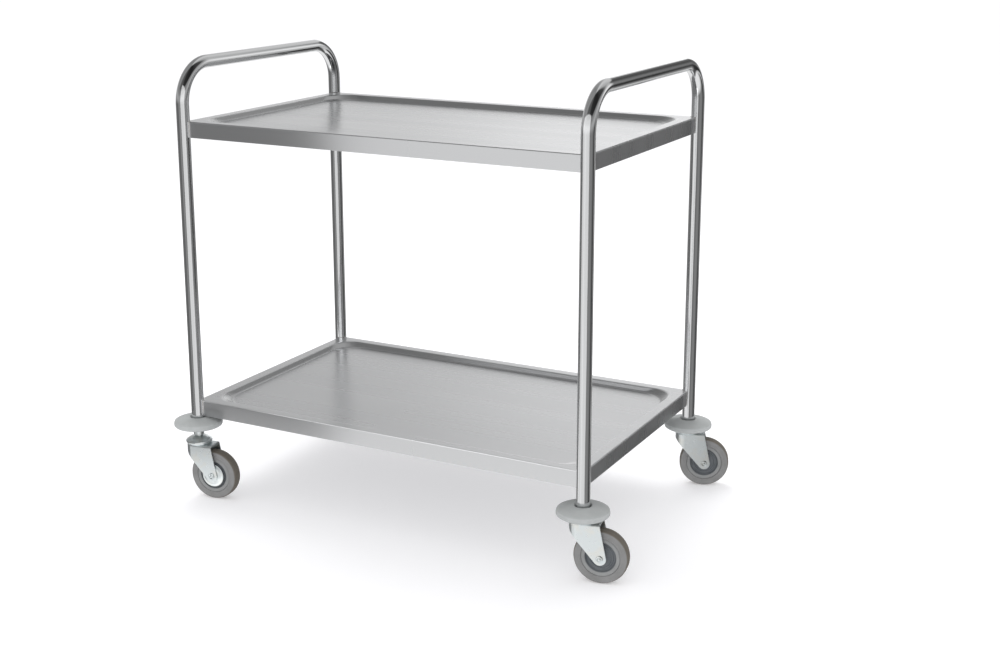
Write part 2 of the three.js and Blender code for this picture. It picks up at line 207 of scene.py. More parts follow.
def rod(radius, low, high):
    """The profile of a plain rod about the lathe's axis."""
    return [(0, low), (radius, low), (radius, high), (0, high)]


def skin(name, rings, place=None):
    """A closed skin over rings of equally many points each, with a flat face at both ends."""
    count = len(rings[0])
    points = [point for ring in rings for point in ring]
    faces = []
    for i in range(len(rings) - 1):
        for k in range(count):
            n = (k + 1) % count
            faces.append((i * count + k, i * count + n, (i + 1) * count + n, (i + 1) * count + k))
    faces.append(tuple(range(count)))
    faces.append(tuple((len(rings) - 1) * count + k for k in range(count)))
    return mesh_from(name, points, faces, place)


def work_object(mesh):
    """A passing object for a mesh that is about to be worked on by modifiers."""
    body = bpy.data.objects.new("work", mesh)
    bpy.context.scene.collection.objects.link(body)
    return body


def worked_mesh(body):
    """The mesh that an object's modifiers make of it, under the name of its own mesh."""
    graph = bpy.context.evaluated_depsgraph_get()
    result = bpy.data.meshes.new_from_object(body.evaluated_get(graph))
    result.name = body.data.name
    return result


def discard(item):
    """Removes an object together with its mesh."""
    old = item.data
    bpy.data.objects.remove(item)
    bpy.data.meshes.remove(old)


def boolean(mesh, cutters, operation):
    """The mesh after cutting it by, or keeping only what it shares with, each cutter mesh."""
    body = work_object(mesh)
    tools = []
    for cutter in cutters:
        tool = work_object(cutter)
        modifier = body.modifiers.new("cut", "BOOLEAN")
        modifier.operation = operation
        modifier.solver = "EXACT"
        modifier.object = tool
        tools.append(tool)
    result = worked_mesh(body)
    for item in (body, *tools):
        discard(item)
    return result


def softened(mesh, width):
    """The mesh with its sharp edges rounded by a small bevel."""
    body = work_object(mesh)
    bevel = body.modifiers.new("edge", "BEVEL")
    bevel.width = width * MM
    bevel.segments = 2
    bevel.limit_method = "ANGLE"
    bevel.angle_limit = math.radians(40)
    bevel.use_clamp_overlap = True
    result = worked_mesh(body)
    discard(body)
    return result


def mark_points(mesh, name, vector_at):
    """Stores a vector with every point of the mesh, worked out from where the point is."""
    layer = mesh.attributes.new(name, "FLOAT_VECTOR", "POINT")
    for i, vertex in enumerate(mesh.vertices):
        layer.data[i].vector = vector_at(vertex.co)
    return mesh


# ---------------------------------------------------------------- materials

# Where the mix node keeps its sockets: the factor, the two numbers, the two colours and the mixed colour.
MIX_FACTOR, MIX_NUMBERS, MIX_COLOURS, MIXED_COLOUR = 0, (2, 3), (6, 7), 2


def new_material(name, colour, metallic, roughness):
    """A material with plain starting values, and its node tree and shader to build on."""
    material = bpy.data.materials.new(name)
    material.use_nodes = True
    shader = material.node_tree.nodes["Principled BSDF"]
    shader.inputs["Base Color"].default_value = (*colour, 1)
    shader.inputs["Metallic"].default_value = metallic
    shader.inputs["Roughness"].default_value = roughness
    return material, material.node_tree, shader


def add_node(tree, kind, **settings):
    """A node with some of its inputs or properties set, by name."""
    node = tree.nodes.new(kind)
    for key, value in settings.items():
        if key in node.inputs:
            node.inputs[key].default_value = value
        else:
            setattr(node, key, value)
    return node


def place_source(tree, attribute=None):
    """Where a surface point is: the object's own coordinates, or a named attribute of the mesh."""
    if attribute is None:
        return tree.nodes.new("ShaderNodeTexCoord").outputs["Object"]
    return add_node(tree, "ShaderNodeAttribute", attribute_name=attribute).outputs["Vector"]


def marked_share(tree, attribute):
    """How far the mesh marks a point with a named attribute, from 0 to 1."""
    parts = tree.nodes.new("ShaderNodeSeparateXYZ")
    tree.links.new(place_source(tree, attribute), parts.inputs[0])
    return parts.outputs["X"]


def noise(tree, place, scale, detail=3.0, roughness=0.5):
    """Noise over a place stretched by scale, so that its streaks run along the axis with the small number."""
    mapping = add_node(tree, "ShaderNodeMapping", Scale=scale)
    tree.links.new(place, mapping.inputs["Vector"])
    texture = add_node(tree, "ShaderNodeTexNoise", Scale=1.0, Detail=detail, Roughness=roughness)
    tree.links.new(mapping.outputs["Vector"], texture.inputs["Vector"])
    return texture.outputs["Fac"]


def spread(tree, value, low, high, start=0.3, stop=0.7):
    """Maps a noise value from start..stop to low..high."""
    node = tree.nodes.new("ShaderNodeMapRange")
    node.inputs["From Min"].default_value = start
    node.inputs["From Max"].default_value = stop
    node.inputs["To Min"].default_value = low
    node.inputs["To Max"].default_value = high
    tree.links.new(value, node.inputs["Value"])
    return node.outputs["Result"]


def blend_colours(tree, factor, first, second, blend_type="MIX"):
    """A blend of two colours. They and the factor are fixed values or other nodes' outputs."""
    node = add_node(tree, "ShaderNodeMix", data_type="RGBA", blend_type=blend_type)
    for socket, source in zip((MIX_FACTOR, *MIX_COLOURS), (factor, first, second)):
        if isinstance(source, bpy.types.NodeSocket):
            tree.links.new(source, node.inputs[socket])
        else:
            node.inputs[socket].default_value = source if socket == MIX_FACTOR else (*source, 1)
    return node.outputs[MIXED_COLOUR]


def blend_values(tree, first, second, factor):
    """A blend of two numbers from other nodes."""
    node = add_node(tree, "ShaderNodeMix", data_type="FLOAT")
    node.inputs[MIX_FACTOR].default_value = factor
    for socket, source in zip(MIX_NUMBERS, (first, second)):
        tree.links.new(source, node.inputs[socket])
    return node.outputs[0]


def add_bump(tree, shader, height, distance, below=None):
    """Lets a height tilt the shader's surface, on top of an earlier bump. The distance is in metres."""
    bump = add_node(tree, "ShaderNodeBump", Strength=1.0, Distance=distance)
    tree.links.new(height, bump.inputs["Height"])
    if below is not None:
        tree.links.new(below, bump.inputs["Normal"])
    tree.links.new(bump.outputs["Normal"], shader.inputs["Normal"])
    return bump.outputs["Normal"]


def polished_tube():
    """Stainless tube, ground and polished along its length: fine long streaks and a faint waviness."""
    material, tree, shader = new_material("polished_tube", (0.78, 0.79, 0.80), 1.0, 0.12)
    place = place_source(tree, "unbent")
    streaks = noise(tree, place, (1600, 1600, 9), detail=4, roughness=0.6)
    bands = noise(tree, place, (260, 260, 3.5), detail=2)
    colour = blend_colours(tree, streaks, (0.70, 0.71, 0.72), (0.88, 0.885, 0.89))
    tree.links.new(colour, shader.inputs["Base Color"])
    tree.links.new(spread(tree, bands, 0.05, 0.12), shader.inputs["Roughness"])
    wave = noise(tree, place, (40, 40, 14), detail=1)
    first = add_bump(tree, shader, wave, 0.00012)
    drawn = add_bump(tree, shader, bands, 0.00012, below=first)
    add_bump(tree, shader, streaks, 0.000008, below=drawn)
    return material


def brushed_sheet():
    """Stainless sheet with a grain along X, faint streaks and a slight sag. Its pressed slopes get a darker
    colour as painted shade.
    """
    material, tree, shader = new_material("brushed_sheet", (0.66, 0.67, 0.68), 1.0, 0.30)
    place = place_source(tree, "unfolded")
    grain = noise(tree, place, (4, 240, 1), detail=1)
    streaks = noise(tree, place, (0.8, 20, 1), detail=0)
    tone = blend_values(tree, grain, streaks, 0.9)
    flat = blend_colours(tree, tone, (0.66, 0.665, 0.675), (0.70, 0.705, 0.715))
    # Painted shade: a darker colour for the pressed slopes between rim and deck, standing in for the shade
    # they lie in.
    slope_shade_colour = blend_colours(tree, tone, (0.48, 0.485, 0.49), (0.53, 0.535, 0.54))
    colour = blend_colours(tree, marked_share(tree, "pressed"), flat, slope_shade_colour)
    tree.links.new(colour, shader.inputs["Base Color"])
    tree.links.new(spread(tree, streaks, 0.265, 0.285), shader.inputs["Roughness"])
    sag = noise(tree, place, (3.0, 5.0, 1), detail=1)
    add_bump(tree, shader, sag, 0.0009)
    shader.inputs["Anisotropic"].default_value = 0.45
    tree.links.new(place_source(tree, "across_grain"), shader.inputs["Tangent"])
    return material


def weld_metal():
    """A small polished weld bead with a faint heat tint."""
    material, tree, shader = new_material("weld_metal", (0.75, 0.74, 0.72), 1.0, 0.22)
    place = place_source(tree)
    tint = noise(tree, place, (160, 160, 160), detail=2)
    colour = blend_colours(tree, tint, (0.66, 0.62, 0.56), (0.82, 0.83, 0.85))
    tree.links.new(colour, shader.inputs["Base Color"])
    tree.links.new(spread(tree, tint, 0.16, 0.32), shader.inputs["Roughness"])
    add_bump(tree, shader, noise(tree, place, (900, 900, 900)), 0.0001)
    return material


def zinc_plate():
    """Bright zinc over pressed steel: bluish white, with cloudy patches that lean to a pale straw colour."""
    material, tree, shader = new_material("zinc_plate", (0.74, 0.78, 0.79), 1.0, 0.30)
    place = place_source(tree)
    clouds = noise(tree, place, (38, 38, 38), detail=4, roughness=0.6)
    tint = spread(tree, clouds, 0, 1, 0.48, 0.74)
    colour = blend_colours(tree, tint, (0.77, 0.815, 0.825), (0.81, 0.80, 0.75))
    tree.links.new(colour, shader.inputs["Base Color"])
    mottle = noise(tree, place, (140, 140, 140), detail=2)
    tree.links.new(spread(tree, mottle, 0.27, 0.32), shader.inputs["Roughness"])
    add_bump(tree, shader, mottle, 0.000005)
    return material


def moulded_rubber(name, colour, darker, grain_size=900.0, roughness=0.55, second=None):
    """Moulded rubber: a matt grain and faint flow clouds. A second colour goes where the mesh's zone is 1."""
    material, tree, shader = new_material(name, colour, 0.0, roughness)
    place = place_source(tree)
    clouds = noise(tree, place, (55, 55, 55), detail=3)
    tone = blend_colours(tree, spread(tree, clouds, 0, 1), darker, colour)
    if second is not None:
        shade = [0.85 * c for c in second]
        second_tone = blend_colours(tree, spread(tree, clouds, 0, 1), shade, second)
        tone = blend_colours(tree, marked_share(tree, "zone"), tone, second_tone)
    tree.links.new(tone, shader.inputs["Base Color"])
    grain = noise(tree, place, (grain_size, grain_size, grain_size), detail=2)
    tree.links.new(spread(tree, grain, roughness - 0.09, roughness + 0.09), shader.inputs["Roughness"])
    add_bump(tree, shader, grain, 0.00006)
    shader.inputs["Specular IOR Level"].default_value = 0.35
    return material


MATERIALS = {
    "tube": polished_tube(),
    "sheet": brushed_sheet(),
    "weld": weld_metal(),
    "zinc": zinc_plate(),
    "bumper": moulded_rubber("bumper_grey", (0.40, 0.415, 0.415), (0.365, 0.38, 0.38)),
    "tyre": moulded_rubber(
        "tyre_grey", (0.225, 0.225, 0.225), (0.19, 0.19, 0.188), grain_size=700.0, roughness=0.6,
        second=(0.135, 0.12, 0.10),
    ),
    # The hub's dark colour inside its rim is partly its own bluish plastic and partly painted shade of the
    # recess. The lighter second colour is its rim.
    "hub": moulded_rubber(
        "hub_grey", (0.125, 0.135, 0.145), (0.10, 0.11, 0.12), grain_size=800.0, roughness=0.45,
        second=(0.255, 0.26, 0.26),
    ),
}


# ---------------------------------------------------------------- tubes

def hoop_path():
    """Middle line of a hoop as (y, z, turn, length): up the front leg, over the handle, down the rear leg."""
    depth = (REAR - FRONT) / MM
    arc_z = HANDLE_Z - BEND_RADIUS
    steps, leg_steps = 24, 10
    found = [(0.0, TUBE_BOTTOM + (arc_z - TUBE_BOTTOM) * i / leg_steps, 0.0) for i in range(leg_steps)]
    for i in range(steps + 1):
        turn = (i / steps) * math.pi / 2
        found.append((BEND_RADIUS * (1 - math.cos(turn)), arc_z + BEND_RADIUS * math.sin(turn), turn))
    for i in range(steps + 1):
        turn = (i / steps) * math.pi / 2
        y = depth - BEND_RADIUS + BEND_RADIUS * math.sin(turn)
        found.append((y, arc_z + BEND_RADIUS * math.cos(turn), math.pi / 2 + turn))
    for i in range(1, leg_steps + 1):
        found.append((depth, arc_z + (TUBE_BOTTOM - arc_z) * i / leg_steps, math.pi))
    length, path = 0.0, []
    for i, (y, z, turn) in enumerate(found):
        if i:
            length += math.hypot(y - found[i - 1][0], z - found[i - 1][1])
        path.append((y, z, turn, length))
    return path


def tube_hoop(name, x):
    """A bent tube with open ends. The bends are a little flattened, as bent tube is."""
    path = hoop_path()
    sides = 64
    points, faces, unbent = [], [], []
    for radius in (TUBE_RADIUS, TUBE_RADIUS - TUBE_WALL):
        for y, z, turn, length in path:
            flat = 1 - BEND_FLATTENING * abs(math.sin(2 * turn))
            for k in range(sides):
                angle = TAU * k / sides
                out, side = radius * math.cos(angle) * flat, radius * math.sin(angle)
                points.append((side, y - out * math.cos(turn), z + out * math.sin(turn)))
                unbent.append((radius * math.cos(angle) * MM, side * MM, length * MM))
    rows = len(path)
    for shell in (0, 1):
        for i in range(rows - 1):
            for k in range(sides):
                n = (k + 1) % sides
                a = (shell * rows + i) * sides
                faces.append((a + k, a + n, a + sides + n, a + sides + k))
    for i in (0, rows - 1):
        for k in range(sides):
            n = (k + 1) % sides
            a, b = i * sides, (rows + i) * sides
            faces.append((a + k, a + n, b + n, b + k))
    mesh = mesh_from(name, points, faces, Matrix.Translation((x, FRONT, 0)))
    layer = mesh.attributes.new("unbent", "FLOAT_VECTOR", "POINT")
    layer.data.foreach_set("vector", np.array(unbent, np.float32).ravel())
    return mesh


# ---------------------------------------------------------------- trays

def outline(inset, radius):
    """A rectangle with round corners, inset from the lines through the legs, in millimetres."""
    steps = 12
    width, depth = (RIGHT - LEFT) / MM, (REAR - FRONT) / MM
    points = []
    for cx, cy, start in (
        (width - inset - radius, inset + radius, -0.25),
        (width - inset - radius, depth - inset - radius, 0.0),
        (inset + radius, depth - inset - radius, 0.25),
        (inset + radius, inset + radius, 0.5),
    ):
        for k in range(steps + 1):
            turn = TAU * (start + 0.25 * k / steps)
            points.append((cx + radius * math.cos(turn), cy + radius * math.sin(turn)))
    return points


def tray_section():
    """The pressed sheet's section as (inset, z): out over the rim, round the skirt's hem and back below."""
    floor = RIM_WIDTH + DECK_SLOPE_RUN
    into_deck = floor + 60
    return rounded(
        [
            (into_deck, -DECK_DEPTH, 0),
            (floor - 1.5, -DECK_DEPTH, 6),
            (RIM_WIDTH + 1.5, 0, 4.5),
            (0, 0, FOLD_RADIUS),
            (0, -SKIRT_HEIGHT, 0.4),
            (SHEET, -SKIRT_HEIGHT, 0.4),
            (SHEET, -SHEET, FOLD_RADIUS - SHEET),
            (RIM_WIDTH + 1.0, -SHEET, 3),
            (floor - 2.0, -DECK_DEPTH - SHEET, 7.5),
            (into_deck, -DECK_DEPTH - SHEET, 0),
        ],
        closed=False,
        steps=7,
    )


def corner_radius(inset):
    """The outline's corner radius at an inset: sharp at the skirt, round where the deck is pressed in."""
    if inset <= RIM_WIDTH:
        return max(FOLD_RADIUS, (DECK_CORNER_RADIUS + DECK_SLOPE_RUN) * inset / RIM_WIDTH)
    down = min(1.0, (inset - RIM_WIDTH) / DECK_SLOPE_RUN)
    return DECK_CORNER_RADIUS + DECK_SLOPE_RUN * (1 + 3 * down)


def tray(name, z):
    """One tray as a closed pressed sheet, notched round the four tubes."""
    rings = []
    for inset, height in tray_section():
        rings.append([(x, y, height) for x, y in outline(inset, corner_radius(inset))])
    mesh = skin(name, rings, Matrix.Translation((LEFT, FRONT, z * MM)))
    over, cutters = 5, []
    notch = rod(TUBE_RADIUS + NOTCH_GAP, -SKIRT_HEIGHT - over, over)
    for corner in CORNERS.values():
        spot = Matrix.Translation((corner["x"], corner["y"], z * MM))
        cutters.append(lathe("notch", notch, spot, 64, closed=False))
    mesh = boolean(mesh, cutters, "DIFFERENCE")
    mark_points(mesh, "unfolded", lambda p: unfolded(p, z * MM))
    # Marks the pressed slopes, whose colour is darkened as painted shade.
    mark_points(mesh, "pressed", lambda p: slope_shade_share(p, z * MM))
    return mark_points(mesh, "across_grain", across_grain)


def side_of(value, low, high):
    """1 by the high edge of the sheet, -1 by its low edge and 0 between them."""
    near = (SHEET + 0.3) * MM
    return 1 if value > high - near else -1 if value < low + near else 0


def unfolded(point, top):
    """Where a point of the bent sheet lay before its skirts were folded down."""
    drop = max(0.0, top - point.z)
    x = point.x + drop * side_of(point.x, LEFT, RIGHT)
    return (x, point.y + drop * side_of(point.y, FRONT, REAR), 0)


def slope_shade_share(point, top):
    """1 on the slope pressed between the rim and the deck, where the sheet gets painted shade, and 0 on the
    rim, the deck and the skirts.
    """
    inset = min(point.x - LEFT, RIGHT - point.x, point.y - FRONT, REAR - point.y) / MM
    depth = (top - point.z) / MM
    slope_start, below_rim, above_deck = RIM_WIDTH - 1, 0.8, 0.7
    on_slope = inset > slope_start and below_rim < depth < DECK_DEPTH - above_deck
    return (1.0 if on_slope else 0.0, 0, 0)


def across_grain(point):
    """The way across the sheet's grain, which runs along X and down the two end skirts."""
    return (0, 0, 1) if side_of(point.y, FRONT, REAR) else (0, 1, 0)


def weld_bead(name, corner, z):
    """A bead up the skirt's end, round the notch in the rim and down the other skirt's end."""
    inward_x = 1 if corner["x"] < 0 else -1
    inward_y = 1 if corner["y"] < 0 else -1
    reach, proud = TUBE_RADIUS + 0.5, 0.2
    bottom, top = -SKIRT_HEIGHT + 1.5, -0.6
    rise_steps, turn_steps, sides = 24, 36, 10
    path = []
    for i in range(rise_steps + 1):
        path.append((inward_x * reach, inward_y * proud, bottom + (top - bottom) * i / rise_steps))
    for i in range(turn_steps + 1):
        turn = (math.pi / 2) * i / turn_steps
        path.append((inward_x * reach * math.cos(turn), inward_y * reach * math.sin(turn), -proud))
    for i in range(rise_steps + 1):
        path.append((inward_x * proud, inward_y * reach, top + (bottom - top) * i / rise_steps))
    path = [Vector(p) for p in path]
    blunt_end, growth, ripple_pace = 0.45, 0.12, 2.1
    rings = []
    for i, point in enumerate(path):
        ahead = path[min(i + 1, len(path) - 1)] - path[max(i - 1, 0)]
        across = ahead.cross(Vector((point.x, point.y, 0))).normalized()
        other = ahead.cross(across).normalized()
        taper = min(1.0, blunt_end + min(i, len(path) - 1 - i) * growth)
        radius = (WELD_RADIUS + WELD_RIPPLE * math.sin(i * ripple_pace)) * taper
        turns = [TAU * k / sides for k in range(sides)]
        rings.append([point + radius * (math.cos(turn) * across + math.sin(turn) * other) for turn in turns])
    return skin(name, rings, Matrix.Translation((corner["x"], corner["y"], z * MM)))


def stiffener(node):
    """The folded channel under a deck, with rounded bends, filling its CAD solid's box."""
    low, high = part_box(node)
    half, height = (high.y - low.y) / 2 / MM, (high.z - low.z) / MM
    inner = half - STIFFENER_FLANGE
    profile = rounded(
        [
            (-half, 0, 0.3), (-half, -SHEET, 0.3), (-inner, -SHEET, 0.8), (-inner, -height, 2.2),
            (inner, -height, 2.2), (inner, -SHEET, 0.8), (half, -SHEET, 0.3), (half, 0, 0.3),
            (inner - SHEET, 0, 2.2), (inner - SHEET, SHEET - height, 0.8),
            (SHEET - inner, SHEET - height, 0.8), (SHEET - inner, 0, 2.2),
        ]
    )
    length = (high.x - low.x) / MM
    place = Matrix.Translation((low.x, (low.y + high.y) / 2, high.z))
    mesh = skin(node, [[(x, y, z) for y, z in profile] for x in (0, length)], place)
    mark_points(mesh, "unfolded", lambda p: (p.x, p.y + p.z, 0))
    return mark_points(mesh, "across_grain", lambda p: (0, 1, 0))


# ---------------------------------------------------------------- bumper rings and casters

def bumper_ring(name, corner):
    """A moulded ring: a rounded side band, a soft crease and a low dome up to the tube's hole."""
    profile = rounded(
        [
            (27.5, 0, 1.0), (44.6, 0, 2.5), (47.8, 2.0, 2.5), (BUMPER_RADIUS, 5.8, 2.5), (47.2, 10.6, 1.6),
            (42.5, 12.9, 6), (34.0, 15.6, 10), (24.0, 17.9, 10), (16.6, 19.0, 1.4),
            (14.4, 16.4, 1.0), (13.3, 12.6, 0.5), (13.3, 7.2, 0.5), (27.5, 7.2, 1.2),
        ]
    )
    place = Matrix.Translation((corner["x"], corner["y"], corner["bumper_z"]))
    return lathe(name, profile, place, 112)


def caster_place(corner):
    """Pieces of a caster are made with the swivel's axis as their Z and the wheel trailing to +X."""
    return Matrix.Translation((corner["x"], corner["y"], 0)) @ Matrix.Rotation(corner["yaw"], 4, "Z")


# The axle's place in a caster, with its own +Z along it.
AXLE_IN_CASTER = Matrix.Translation((TRAIL * MM, 0, WHEEL_RADIUS * MM)) @ Matrix.Rotation(math.pi / 2, 4, "X")


def axle_place(corner):
    """Pieces turned about the axle are made with +Z along it, towards the bolt's head."""
    return caster_place(corner) @ AXLE_IN_CASTER


def stem_sleeve(name, corner):
    """The sleeve from the swivel head up into the tube's end."""
    profile = rounded(
        [(0, 130.3, 0), (9.6, 130.3, 0.4), (10.4, 131.2, 0.4), (10.4, 182, 1), (7.4, 185, 0.5), (0, 185, 0)],
        closed=False,
    )
    return lathe(name, profile, caster_place(corner), 48, closed=False)


def swivel_cup(name, corner):
    """The cup over the balls: a rolled rim, a step, a low dome and a raised neck round the pin."""
    profile = rounded(
        [
            (7.3, 126.1, 0.3), (12.6, 125.2, 2), (24.3, 119.0, 2), (24.4, 115.5, 0.4), (25.6, 115.5, 0.8),
            (26.3, 117.2, 1.2), (26.2, 119.8, 1.6), (24.4, 121.0, 1.2), (22.8, 121.6, 1.0), (19.5, 124.6, 4),
            (13.6, 127.2, 1.5), (10.4, 127.8, 1.0), (7.3, 127.8, 0.3),
        ]
    )
    return lathe(name, profile, caster_place(corner), 80)


def king_pin(name, corner):
    """The rivet that the fork turns on, with a broad foot under the fork and a small head over the cup."""
    profile = rounded(
        [
            (0, 107.0, 0), (8.4, 107.0, 1.2), (10.5, 108.9, 0.8), (10.5, 110.2, 0.3), (7.0, 110.2, 0.3),
            (7.0, 128.1, 0.2), (8.4, 128.1, 0.4), (8.4, 130.0, 0.4), (0, 130.0, 0),
        ],
        closed=False,
    )
    return lathe(name, profile, caster_place(corner), 48, closed=False)


def ball_race(name, corner):
    """Balls in a cage between fork and cup, as one bumped ring."""
    balls, per_ball, dip, inner, outer = 18, 6, 0.8, 15, 24.2
    segments = balls * per_ball
    points, faces = [], []
    section = rounded([(inner, 113.3, 0.6), (outer, 113.3, 0.8), (outer, 117.8, 0.8), (inner, 117.8, 0.6)])
    for k in range(segments):
        turn = TAU * k / segments
        pinch = 0.5 * (1 - math.cos(balls * turn)) * dip
        for radius, height in section:
            r = radius - pinch if radius > (inner + outer) / 2 else radius
            points.append((r * math.cos(turn), r * math.sin(turn), height))
    count = len(section)
    for k in range(segments):
        n = (k + 1) % segments
        for i in range(count):
            m = (i + 1) % count
            faces.append((k * count + i, n * count + i, n * count + m, k * count + m))
    return mesh_from(name, points, faces, caster_place(corner))


def fork_block(half_width, rear, bottom, top, shoulder):
    """The fork's plan, half-round at the nose, drawn up to a height with a rounded shoulder."""
    nose_x, steps, shoulder_steps = -6, 32, 6
    levels = [(bottom, 0.0)]
    for i in range(shoulder_steps + 1):
        turn = (math.pi / 2) * i / shoulder_steps
        levels.append((top - shoulder + shoulder * math.sin(turn), shoulder * (1 - math.cos(turn))))
    rings = []
    for height, inset in levels:
        width = half_width - inset
        ring = [(rear, -width, height), (rear, width, height)]
        for k in range(steps + 1):
            turn = math.pi / 2 + math.pi * k / steps
            ring.append((nose_x + width * math.cos(turn), width * math.sin(turn), height))
        rings.append(ring)
    return skin("block", rings)


def fork_side_view():
    """The fork's side view as a thick plate: level top, nose, round end about the axle, slanted rear edge."""

    def tangent(x, z, side):
        dx, dz = TRAIL - x, WHEEL_RADIUS - z
        return math.atan2(-dz, -dx) + side * math.acos(FORK_END_RADIUS / math.hypot(dx, dz))

    top, nose_x, nose_z, steps = FORK_TOP + 1, -26, 101, 24
    start = tangent(nose_x, nose_z, 1)
    stop = tangent(FORK_REAR_X, top, -1) + TAU
    shape = [(nose_x, top), (nose_x, nose_z)]
    for k in range(steps + 1):
        turn = start + (stop - start) * k / steps
        x, z = TRAIL + FORK_END_RADIUS * math.cos(turn), WHEEL_RADIUS + FORK_END_RADIUS * math.sin(turn)
        shape.append((x, z))
    shape.append((FORK_REAR_X, top))
    half_plate = FORK_HALF_WIDTH + 3
    return skin("side view", [[(x, y, z) for x, z in shape] for y in (-half_plate, half_plate)])


def fork(name, corner):
    """The pressed fork: one sheet bent over a half-round nose, holed for the pin and the axle."""
    rear, bottom, over, shoulder, inner_shoulder = 60, 30, 2, 4.5, 2.2
    outer = fork_block(FORK_HALF_WIDTH, rear, bottom, FORK_TOP, shoulder)
    room, ceiling = FORK_HALF_WIDTH - FORK_SHEET, FORK_TOP - FORK_SHEET
    inner = fork_block(room, rear + over, bottom - over, ceiling, inner_shoulder)
    pin = lathe("pin", rod(PIN_HOLE_RADIUS, 100, 120), None, 32, closed=False)
    axle = lathe("axle", rod(AXLE_HOLE_RADIUS, -25, 25), AXLE_IN_CASTER, 32, closed=False)
    shell = boolean(outer, [inner], "DIFFERENCE")
    shell = boolean(shell, [fork_side_view()], "INTERSECT")
    shell = boolean(shell, [pin, axle], "DIFFERENCE")
    shell = softened(shell, FORK_EDGE_ROUNDING)
    shell.name = name
    shell.transform(caster_place(corner))
    return shell


def axle_bolt(name, corner):
    """A riveted axle: a low round head with a raised middle at one end, a threaded tip at the other."""
    profile = [
        (0, -27, 0), (3.2, -27, 0.3), (4.0, -26.2, 0.3), (4.0, 19.3, 0), (6.4, 19.3, 0.3),
        (6.3, 20.4, 0.6), (5.4, 21.6, 0.7), (4.3, 21.2, 0.5), (3.6, 19.9, 0.4), (2.8, 20.4, 0.5),
        (1.7, 21.6, 0.8), (0, 21.9, 0),
    ]
    return lathe(name, rounded(profile, closed=False, steps=3), axle_place(corner), 40, closed=False)


def axle_nut(name, corner):
    """A hexagon nut, chamfered at both ends."""
    bore, radius, low, high, chamfer, back_chamfer = AXLE_HOLE_RADIUS, 7.5, -25.3, -19.3, 0.7, 0.2
    profile = [
        (bore, low), (radius - chamfer, low), (radius, low + chamfer),
        (radius, high - back_chamfer), (radius - back_chamfer, high), (bore, high),
    ]
    sides = 6
    turns = [TAU * k / sides for k in range(sides)]
    rings = [[(r * math.cos(turn), r * math.sin(turn), z) for turn in turns] for r, z in profile]
    points = [p for ring in rings for p in ring]
    faces = []
    for i in range(len(rings)):
        a, b = i * sides, ((i + 1) % len(rings)) * sides
        faces.extend((a + k, a + (k + 1) % sides, b + (k + 1) % sides, b + k) for k in range(sides))
    return mesh_from(name, points, faces, axle_place(corner))


def mirrored(profile, side):
    """The profile as it is on the bolt head's side of the wheel, or turned over for the nut's side."""
    return profile if side > 0 else [(r, -h, c) for r, h, c in profile][::-1]


def spacer(name, corner, side):
    """The washer between the hub and the fork's leg."""
    bore = AXLE_HOLE_RADIUS
    profile = [(bore, 14.9, 0.2), (8.0, 14.9, 0.3), (8.0, 16.2, 0.3), (bore, 16.2, 0.2)]
    return lathe(name, rounded(mirrored(profile, side), steps=2), axle_place(corner), 40)


def disc_cover(name, corner, side):
    """A dished thread guard: a flat middle by the fork, a step and a rolled rim in the tyre's recess."""
    profile = [
        (AXLE_HOLE_RADIUS, 14.9, 0.2), (13.8, 14.9, 1.2), (17.0, 13.7, 1.5), (22.2, 12.8, 0.8),
        (23.5, 12.2, 0.3), (23.5, 13.2, 0.4), (22.4, 14.0, 0.9), (18.2, 14.7, 1.5), (14.8, 16.2, 1.2),
        (AXLE_HOLE_RADIUS, 16.2, 0.2),
    ]
    return lathe(name, rounded(mirrored(profile, side)), axle_place(corner), 72)


def both_sides(half):
    """A closed profile from its outer half: the same corners mirrored to the wheel's inner side."""
    return half + [(r, -h, c) for r, h, c in half][::-1]


def wheel_hub(name, corner):
    """The hub: a rim inside the tyre, stepped rings down to a thin web, and a boss round the axle."""
    half = [
        (AXLE_HOLE_RADIUS, 14.6, 0.4), (9.0, 14.6, 0.8), (9.5, 8.4, 0.8), (13.4, 6.8, 0.8), (19.6, 6.4, 0.6),
        (20.4, 7.6, 0.4), (22.6, 7.8, 0.4), (23.6, 6.3, 0.5), (26.2, 6.5, 0.8), (28.3, 10.2, 0.5),
        (29.4, 10.8, 0.5), (35.2, 10.8, 0.4),
    ]
    mesh = lathe(name, rounded(both_sides(half), steps=3), axle_place(corner), 96)
    # Zone 1 is the hub's rim. The darker colour inside it is partly painted shade of the recess.
    return mark_points(mesh, "zone", zone_outside(corner, 28.2, 28.6))


def tyre(name, corner):
    """The tyre: a stepped inner lip, a slightly hollow side, round shoulders and a tread with a part line."""
    half = [
        (35.5, 11.0, 0.3), (36.4, 11.9, 0.5), (38.6, WHEEL_HALF_WIDTH, 0.8), (39.6, 11.5, 0.8),
        (46.6, 11.7, 1.2), (48.6, 10.6, 1.3), (49.9, 6.4, 2.5), (WHEEL_RADIUS, 0.6, 0.2), (49.8, 0.3, 0.1),
    ]
    mesh = lathe(name, rounded(both_sides(half)), axle_place(corner), 128)
    return mark_points(mesh, "zone", zone_outside(corner, 47.6, 48.6))


def zone_outside(corner, start, stop):
    """1 outside a radius about the axle and 0 inside it, with a soft step between."""
    to_axle = axle_place(corner).inverted()

    def zone(point):
        local = to_axle @ point
        share = (math.hypot(local.x, local.y) / MM - start) / (stop - start)
        return (min(1.0, max(0.0, share)), 0, 0)

    return zone


# ---------------------------------------------------------------- the whole cart

